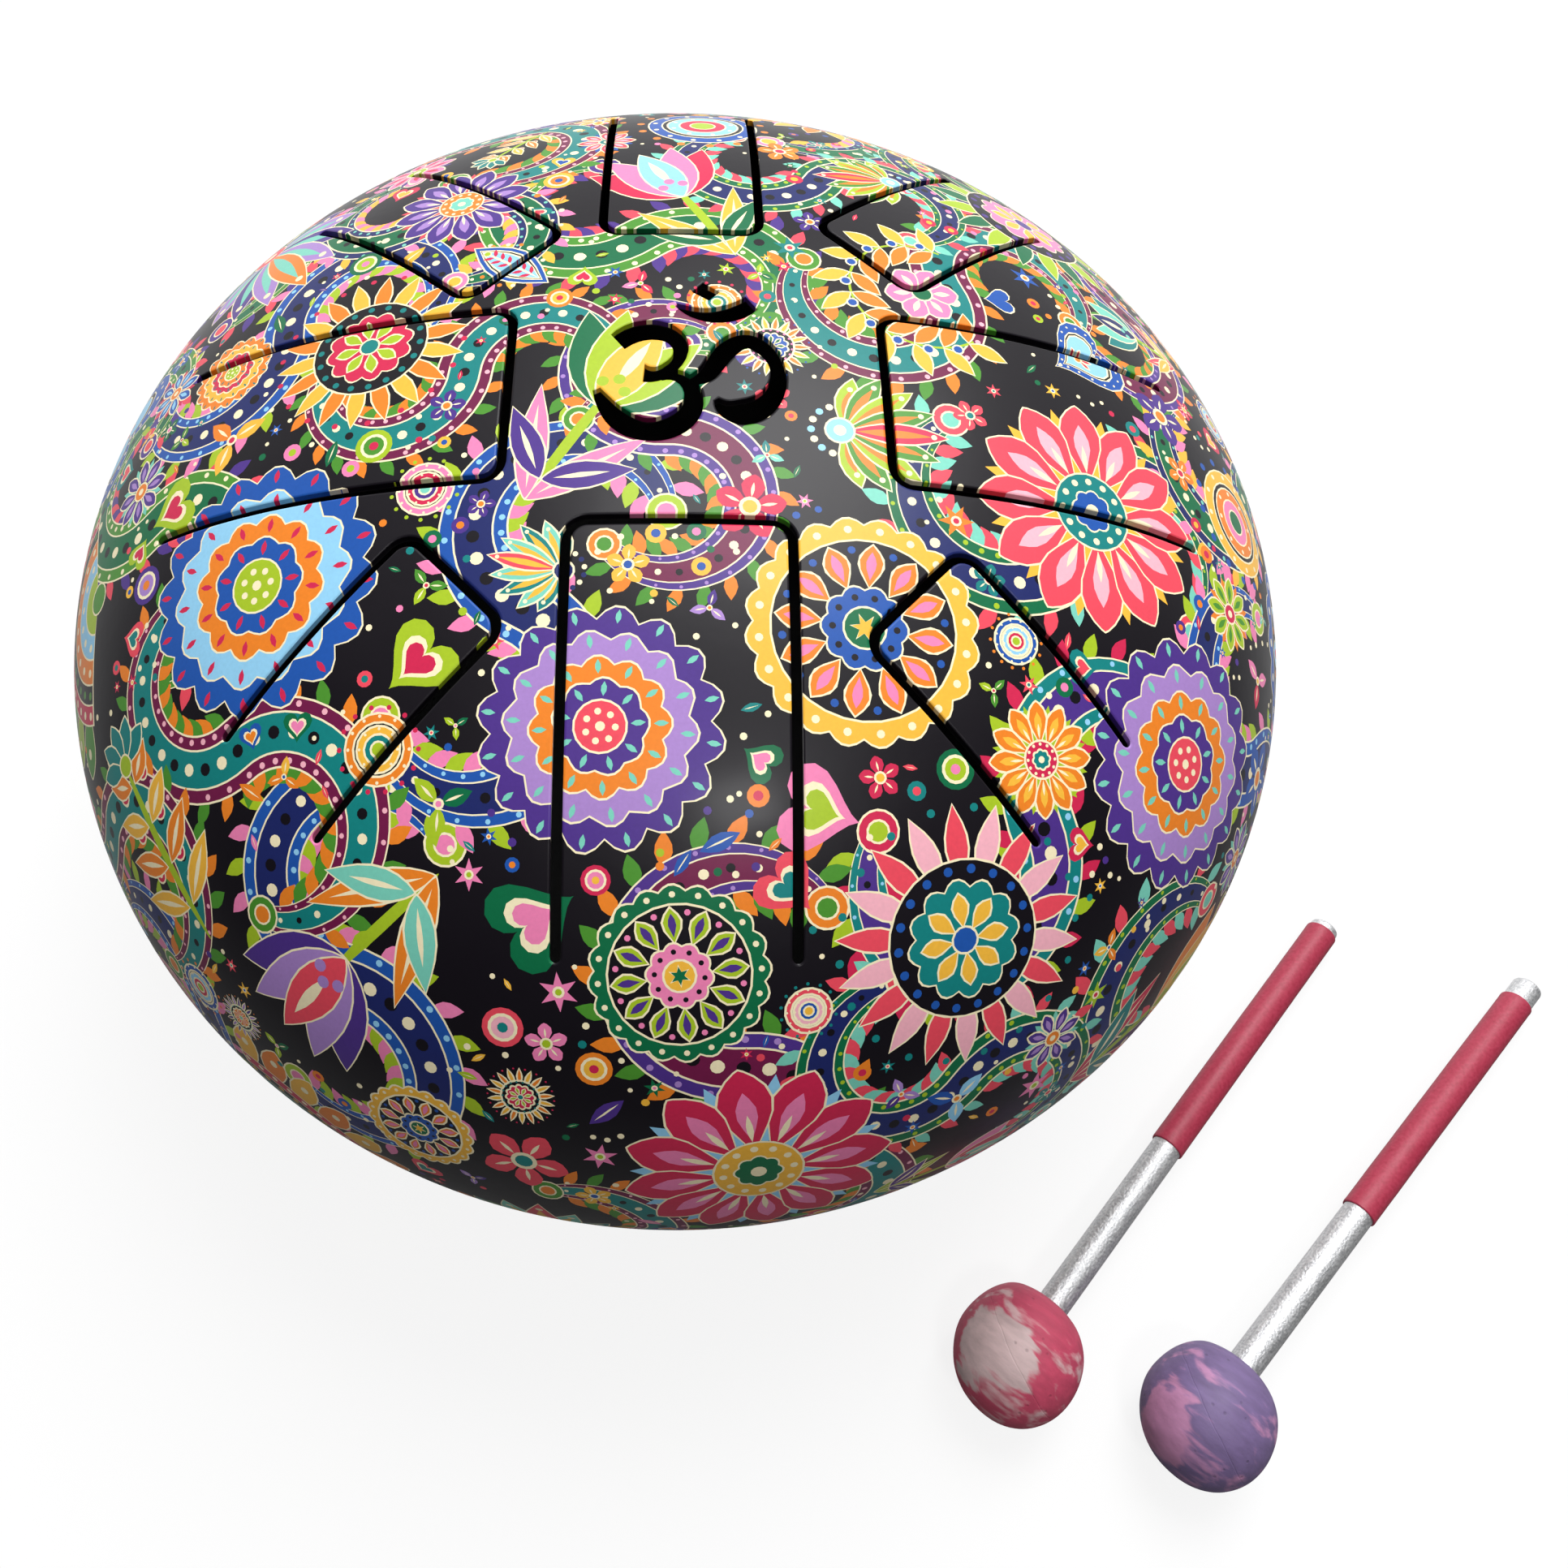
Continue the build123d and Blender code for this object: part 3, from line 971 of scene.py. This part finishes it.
def set_round(first, kind, material):
    """Puts a copy of a piece at each foot, and the piece itself at the first."""
    first.data.materials.append(material)
    for number in (4, 3, 2, 1):
        low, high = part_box(f"rubber_foot_{number}")
        piece = first if number == 1 else copy_of(first)
        piece.name = piece.data.name = f"{kind}_piece_{number}"
        settle(piece, Matrix.Translation(((low[0] + high[0]) / 2, (low[1] + high[1]) / 2, 0)))
        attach(piece, "drum")
        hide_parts(f"{kind}_{number}")


rubber, place, feed = new_material("moulded_rubber")
dust = noise(place, 160.0, 4.0)
feed("Base Color", blend(dust ** 2.0, (0.012, 0.012, 0.013), (0.045, 0.044, 0.043)))
feed("Roughness", 0.62 + 0.25 * dust)
feed("Normal", bump(noise(place, 2600.0, 2.0), 0.25, 0.2))
foot = turned("foot", [
    (2.2, 4.6), (2.2, 8.0), (10.6, 8.0), (10.9, 7.85), (10.95, 7.4), (10.75, 7.0), (10.62, 6.6),
    (9.66, 1.1), (9.52, 0.55), (9.2, 0.15), (8.8, 0.0), (8.15, 0.0), (7.95, 0.12), (7.8, 0.4), (7.2, 0.4),
    (7.05, 0.12), (6.85, 0.0), (6.2, 0.0), (5.8, 0.12), (5.6, 0.45), (5.6, 4.3), (5.45, 4.6), (2.2, 4.6),
], turning_steps)
set_round(foot, "rubber_foot", rubber)


# Foot washers. Flat stamped steel rings, bright zinc plated, with the soft edge that stamping leaves.
# Each lies in its foot's recess, under the screw's head.
zinc, place, feed = new_material("zinc_plate", Metallic=1.0)
bloom = noise(place, 380.0, 4.0)
feed("Base Color", blend(bloom, (0.48, 0.49, 0.50), (0.72, 0.71, 0.67)))
feed("Roughness", 0.22 + 0.25 * bloom)
feed("Normal", bump(noise(place, 2200.0, 3.0), 0.15, 0.1))
washer = turned("washer", [
    (2.2, 3.9), (2.32, 3.8), (4.8, 3.8), (4.95, 3.86), (5.0, 3.98), (5.0, 4.44), (4.92, 4.56), (4.8, 4.6),
    (2.3, 4.6), (2.2, 4.5), (2.2, 3.9),
], turning_steps)
set_round(washer, "foot_washer", zinc)


# Foot screws. M4 pan heads under the washers, with a cross recess, and a ringed thread of 0.7 mm
# pitch that comes up through the base to the nut. Zinc plated like the washers.
screw_steps = 48
pitch, thread_turns, first_crest = 0.7, 13, 4.5
crest_radius, root_radius = 1.98, 1.70
recess_length, recess_width, recess_height, recess_level = 4.2, 0.95, 1.7, 1.9
recess_rounding = 0.12
thread = [(2.0, 3.8), (crest_radius, 4.4)]
for k in range(thread_turns):
    level = first_crest + pitch * k
    thread += [(crest_radius, level), (root_radius, level + 0.4 * pitch), (root_radius, level + 0.6 * pitch)]
screw = turned("screw", [
    (0.0, 1.42), (1.6, 1.44), (2.5, 1.55), (3.2, 1.80), (3.62, 2.2), (3.8, 2.75), (3.8, 3.55), (3.66, 3.8),
    *thread, (1.95, 13.6), (1.5, 14.0), (0.0, 14.0),
], screw_steps)
for turn in (45, 135):
    bpy.ops.object.select_all(action="DESELECT")
    bpy.ops.mesh.primitive_cube_add(
        size=1.0, location=(0, 0, recess_level * mm), rotation=(0, 0, math.radians(turn)))
    blade = bpy.context.object
    blade.scale = (recess_length * mm, recess_width * mm, recess_height * mm)
    bpy.ops.object.transform_apply(location=True, rotation=True, scale=True)
    bpy.ops.object.mode_set(mode="EDIT")
    bpy.ops.mesh.select_all(action="SELECT")
    bpy.ops.mesh.bevel(offset=recess_rounding * mm, segments=2)
    bpy.ops.object.mode_set(mode="OBJECT")
    cut = screw.modifiers.new("recess", "BOOLEAN")
    cut.object, cut.solver = blade, "EXACT"
    pick(screw)
    bpy.ops.object.modifier_apply(modifier=cut.name)
    bpy.data.objects.remove(blade)
set_round(screw, "foot_screw", zinc)


# Foot nuts. Hexagon M4 nuts inside the bowl, on the screws' ends, zinc plated like them. A prism is
# cut down to a turned blank with a bore, which gives both ends their chamfers.
nut_across_flats, prism_height, nut_level = 7.0, 4.0, 11.2
nut_crease = math.radians(20)
bpy.ops.object.select_all(action="DESELECT")
bpy.ops.mesh.primitive_cylinder_add(
    vertices=6, radius=nut_across_flats / 2 * mm / math.cos(math.pi / 6), depth=prism_height * mm,
    location=(0, 0, nut_level * mm), rotation=(0, 0, math.pi / 6))
nut = bpy.context.object
bpy.ops.object.transform_apply(location=True, rotation=True, scale=True)
blank = turned("nut_blank", [
    (2.02, 10.0), (2.4, 9.6), (3.4, 9.6), (4.2, 10.0), (4.2, 12.4), (3.4, 12.8), (2.4, 12.8), (2.02, 12.4),
    (2.02, 10.0),
], screw_steps)
meet = nut.modifiers.new("chamfer", "BOOLEAN")
meet.operation, meet.object, meet.solver = "INTERSECT", blank, "EXACT"
pick(nut)
bpy.ops.object.modifier_apply(modifier=meet.name)
bpy.data.objects.remove(blank)
bpy.ops.object.shade_smooth_by_angle(angle=nut_crease)
set_round(nut, "foot_nut", zinc)


# Mallet shafts. Solid aluminium rods 6.5 mm thick, drawn and tumbled to a satin grain, with the
# tail end broken by hand. The head is pushed on one end and the sleeve shrunk on the other.
sleeve_start, sleeve_length = 58.2, 71.8
shaft_radius, sleeve_radius = 3.25, 3.67
mallets = {}
for number in (1, 2):
    rod = sum((Vector(corner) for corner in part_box(f"mallet_{number}_shaft")), Vector()) / 2
    grip = sum((Vector(corner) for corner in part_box(f"mallet_{number}_sleeve")), Vector()) / 2
    along = (grip - rod).normalized()
    sideways = Vector((-along.y, along.x, 0)).normalized()
    head_centre = grip - along * (sleeve_start + sleeve_length / 2) * mm
    rod_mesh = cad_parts[f"mallet_{number}_shaft"].data
    half_length = max((Vector(vertex.co) - rod).dot(along) for vertex in rod_mesh.vertices)
    turned_frame = Matrix((sideways, along.cross(sideways), along)).transposed().to_4x4()
    mallets[number] = {
        "matrix": Matrix.Translation(head_centre) @ turned_frame,
        "tail": ((rod - head_centre).dot(along) + half_length) / mm,
        "bore": ((rod - head_centre).dot(along) - half_length) / mm,
    }


def mallet_places(place, matrix):
    """Places from the middle of a mallet's head, and the same turned to lie along its shaft."""
    centred = place.make("VectorMath", {0: place, 1: matrix.translation}, operation="SUBTRACT")
    turn_back = matrix.to_3x3().inverted().to_euler()
    return centred, place.make("Mapping", {"Vector": centred, "Rotation": turn_back})


for number, mallet in mallets.items():
    tail, bore = mallet["tail"], mallet["bore"]
    shaft = turned(f"mallet_{number}_rod", [
        (0, bore), (shaft_radius, bore), (shaft_radius, 20), (shaft_radius, 40),
        (shaft_radius, sleeve_start), (shaft_radius, tail - 0.8), (shaft_radius - 0.1, tail - 0.42),
        (shaft_radius - 0.4, tail - 0.12), (shaft_radius - 0.8, tail), (0, tail),
    ], turning_steps)
    settle(shaft, mallet["matrix"])
    satin, place, feed = new_material(f"satin_aluminium_{number}", Metallic=1.0)
    centred, rod_place = mallet_places(place, mallet["matrix"])
    drawn = place.make("Mapping", {"Vector": rod_place, "Scale": (1.0, 1.0, 0.06)})
    lines = noise(drawn, 2600.0, 3.0)
    speck = noise(rod_place, 1900.0, 2.0)
    dull = noise(rod_place, 130.0, 3.0)
    shade = 1.5 * speck + 0.7 * lines + 0.3 * dull - 0.75
    feed("Base Color", blend(shade, (0.46, 0.47, 0.49), (0.92, 0.92, 0.92)))
    feed("Roughness", 0.46 + 0.16 * dull + 0.12 * speck)
    feed("Normal", bump(0.8 * speck + 0.2 * lines, 0.6, 0.3))
    shaft.data.materials.append(satin)
    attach(shaft, f"mallet_{number}")
    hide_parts(f"mallet_{number}_shaft")


# Mallet grip sleeves. Crimson plastic tube, shrunk onto the shaft with hot air, so that it is
# thin, satin and very slightly uneven.
sleeve_end = sleeve_start + sleeve_length
sleeve_bore = shaft_radius + 0.02
mouth = [(0.2, 0.0), (0.04, 0.18), (0.01, 0.5)]  # how far the skin lies in, by distance from the end
ripple_count, ripple_margin = 16, 1.2
for number, mallet in mallets.items():
    ripple = random.Random(number)
    ripple_step = (sleeve_length - 2 * ripple_margin) / ripple_count
    sleeve = turned(f"mallet_{number}_grip", [
        (sleeve_bore, sleeve_start),
        *((sleeve_radius - fall, sleeve_start + reach) for fall, reach in mouth),
        *((sleeve_radius - 0.01 - 0.03 * ripple.random(), sleeve_start + ripple_margin + ripple_step * k)
          for k in range(ripple_count + 1)),
        *((sleeve_radius - fall, sleeve_end - reach) for fall, reach in reversed(mouth)),
        (sleeve_bore, sleeve_end), (sleeve_bore, sleeve_start),
    ], turning_steps)
    settle(sleeve, mallet["matrix"])
    tube, place, feed = new_material(f"crimson_tube_{number}", IOR=1.5)
    cloud = noise(place, 90.0, 4.0)
    pebble = noise(place, 1300.0, 2.0)
    speckle = 0.5 * cloud + 1.6 * pebble - 0.55
    feed("Base Color", blend(speckle, (0.32, 0.018, 0.046), (0.45, 0.042, 0.085)))
    feed("Roughness", 0.42 + 0.2 * cloud)
    feed("Normal", bump(pebble, 0.25, 0.2))
    sleeve.data.materials.append(tube)
    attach(sleeve, f"mallet_{number}")
    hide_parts(f"mallet_{number}_sleeve")


# Mallet heads. Soft balls of marbled rubber, hand moulded from two colours, slightly lumpy and
# pitted, with a faint parting line, and bored at the back for the shaft.
head_radius, nose, back, flat_radius, roundness = 12.9, 13.1, 12.4, 5.0, 0.56
bore_depth = 18.0
lump_size, lump_height, lump_middle = 11.0, 0.5, 0.56
flat_margin, nose_cap = 0.2, -9.0  # the skin that is lumpy lies off the flat back or below this level
head_steps = 96
nose_line = bezier([
    (0, -nose), (roundness * head_radius, -nose), (head_radius, -roundness * nose), (head_radius, 0),
], 24)
back_line = bezier([
    (head_radius, 0), (head_radius, roundness * back),
    (flat_radius + roundness * (head_radius - flat_radius), back), (flat_radius, back),
], 20)
ball = turned("ball", nose_line.tolist() + back_line[1:].tolist() + [
    (shaft_radius + 0.3, back), (shaft_radius + 0.05, back - 0.25), (shaft_radius + 0.02, back - bore_depth),
    (0, back - bore_depth),
], head_steps)
lumps = bpy.data.textures.new("lumps", "CLOUDS")
lumps.noise_scale, lumps.noise_depth = lump_size * mm, 1
push = ball.modifiers.new("lumps", "DISPLACE")
push.texture, push.texture_coords = lumps, "LOCAL"
push.strength, push.mid_level = lump_height * mm, lump_middle
outer_skin = ball.vertex_groups.new(name="outer_skin")
outer_skin.add([
    corner.index for corner in ball.data.vertices
    if corner.co.xy.length > (flat_radius + flat_margin) * mm or corner.co.z < nose_cap * mm
], 1.0, "REPLACE")
push.vertex_group = "outer_skin"
pick(ball)
bpy.ops.object.modifier_apply(modifier=push.name)
ball.vertex_groups.clear()
marbling = {
    1: {"body": (0.52, 0.060, 0.120), "swirl": (0.60, 0.44, 0.44),
        "patch": Vector((-7.0, 1.6, 10.2)) * mm, "reach": 7.8 * mm, "squeeze": (1.0, 1.0, 1.0)},
    2: {"body": (0.175, 0.120, 0.265), "swirl": (0.50, 0.23, 0.40),
        "patch": Vector((-10.4, -1.6, 6.8)) * mm, "reach": 7.2 * mm, "squeeze": (1.5, 1.0, 0.9)},
}


def ramp(value, low, high, start=0.0, end=1.0, kind="LINEAR"):
    return value.make("MapRange", {
        "Value": value, "From Min": low, "From Max": high, "To Min": start, "To Max": end,
    }, interpolation_type=kind)


for number, mallet in mallets.items():
    head = copy_of(ball) if number == 1 else ball
    head.name = head.data.name = f"mallet_{number}_ball"
    settle(head, mallet["matrix"])
    marble = marbling[number]
    marbled, place, feed = new_material(f"marbled_rubber_{number}", IOR=1.5)
    centred, local = mallet_places(place, mallet["matrix"])
    smeared = place.make("Mapping", {"Vector": centred, "Rotation": (0.0, 0.2, 0.65)})
    smeared = place.make("Mapping", {"Vector": smeared, "Scale": (0.22, 1.0, 0.7)})
    blot = noise(centred, 110.0, 2.0, 0.5)
    feather = noise(smeared, 620.0, 4.0)
    streak = noise(smeared, 210.0, 3.0, 0.7)
    off_patch = place.make("VectorMath", {0: centred, 1: marble["patch"]}, operation="SUBTRACT")
    off_patch = place.make("VectorMath", {0: off_patch, 1: marble["squeeze"]}, operation="MULTIPLY")
    away = place.make("VectorMath", {0: off_patch}, "Value", operation="LENGTH") / marble["reach"]
    patch = ramp(away + 1.2 * blot + 0.7 * feather + 1.9 * streak, 3.0, 2.72, kind="SMOOTHSTEP")
    smear = ramp(streak + 0.5 * feather, 0.81, 0.97, end=0.8)
    colour = blend(patch + smear - patch * smear, marble["body"], marble["swirl"])
    # The pits are sunk in the bump, and the colour is darkened in them as painted shade.
    pit_depth_and_shade = ramp(place.make("TexVoronoi", {"Vector": local, "Scale": 330.0}), 0.05, 0.14)
    feed("Base Color", shaded(colour, (0.6 + 0.7 * feather) * (0.72 + 0.28 * pit_depth_and_shade)))
    rub = noise(local, 900.0, 3.0)
    feed("Roughness", 0.52 + 0.2 * rub)
    parting = place.make("Mapping", {"Vector": local, "Rotation": (0.5, 0.35, 0.0)})
    off_parting = place.make("SeparateXYZ", {0: parting}, "Z") * (1 / mm) - 2.2 + 0.9 * blot
    seam = ramp(off_parting * off_parting, 0.0, 0.03)
    feed("Normal", bump(0.35 * rub + 0.5 * pit_depth_and_shade + 0.35 * feather + 0.3 * seam, 0.5, 0.3))
    head.data.materials.append(marbled)
    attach(head, f"mallet_{number}")
    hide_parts(f"mallet_{number}_head")


# Studio. A pale floor that fades into a white surround, a soft main light behind the drum, a broad
# weak one overhead and a small one in front, and the camera at the front, above the drum.
bpy.ops.object.select_all(action="DESELECT")
bpy.ops.mesh.primitive_plane_add(size=8.0)
floor = bpy.context.object
floor.name = "studio_floor"
paper, place, feed = new_material("pale_floor", Roughness=0.9)
feed("Base Color", blend(noise(place, 6.0, 2.0), (0.93, 0.93, 0.93), (0.95, 0.95, 0.95)))
away = place.make("VectorMath", {0: place}, "Value", operation="LENGTH")
fade = ramp(away, 0.4, 1.6, 0.15, 0.0, "SMOOTHSTEP")
feed("Alpha", fade * (1 - place.make("NewGeometry", {}, "Backfacing")))
floor.data.materials.append(paper)

lit_spot = Vector((0.0, 0.0, 0.1))
for name, spot, size, power in (
    ("back_key", (0.25, 0.65, 1.30), 0.8, 19.5),
    ("overhead", (0.10, -0.05, 1.40), 1.1, 2.2),
    ("front_spot", (0.19, -0.50, 1.30), 0.20, 4.0),
):
    light = bpy.data.lights.new(name, "AREA")
    light.size, light.energy = size, power
    lamp = bpy.data.objects.new(name, light)
    bpy.context.scene.collection.objects.link(lamp)
    lamp.location = spot
    lamp.rotation_euler = (lit_spot - Vector(spot)).to_track_quat("-Z", "Y").to_euler()

scene = bpy.context.scene
scene.view_settings.view_transform = "Standard"
scene.world = bpy.data.worlds.new("studio")
scene.world.use_nodes = True
surround = scene.world.node_tree
seen = Wire(surround, surround.nodes.new("ShaderNodeLightPath").outputs["Is Camera Ray"])
toward_back = seen.make("SeparateXYZ", {0: seen.make("TexCoord", {}, "Generated")}, "Y")
backdrop = ramp(toward_back, -0.2, 0.9, kind="SMOOTHSTEP")
strength = seen.math("MAXIMUM", seen, 0.06 + 0.88 * backdrop)
surround.nodes["Background"].inputs["Color"].default_value = (1.0, 1.0, 1.0, 1.0)
surround.links.new(strength.socket, surround.nodes["Background"].inputs["Strength"])

camera_spot = Vector((-0.00045, -0.14505, 0.32566))
forward = Vector((0.0106, 0.4903, -0.8715)).normalized()
right = forward.cross(Vector((-0.0070, 0.8716, 0.4902))).normalized()
above = right.cross(forward)
camera = bpy.data.cameras.new("front_camera")
camera.lens, camera.sensor_width = 29.80, 36.0
camera.shift_x, camera.shift_y = 0.0600, -0.1066
camera.clip_start = 0.01
viewer = bpy.data.objects.new("front_camera", camera)
scene.collection.objects.link(viewer)
view_turn = Matrix((right, above, -forward)).transposed().to_4x4()
viewer.matrix_world = Matrix.Translation(camera_spot) @ view_turn
scene.camera = viewer
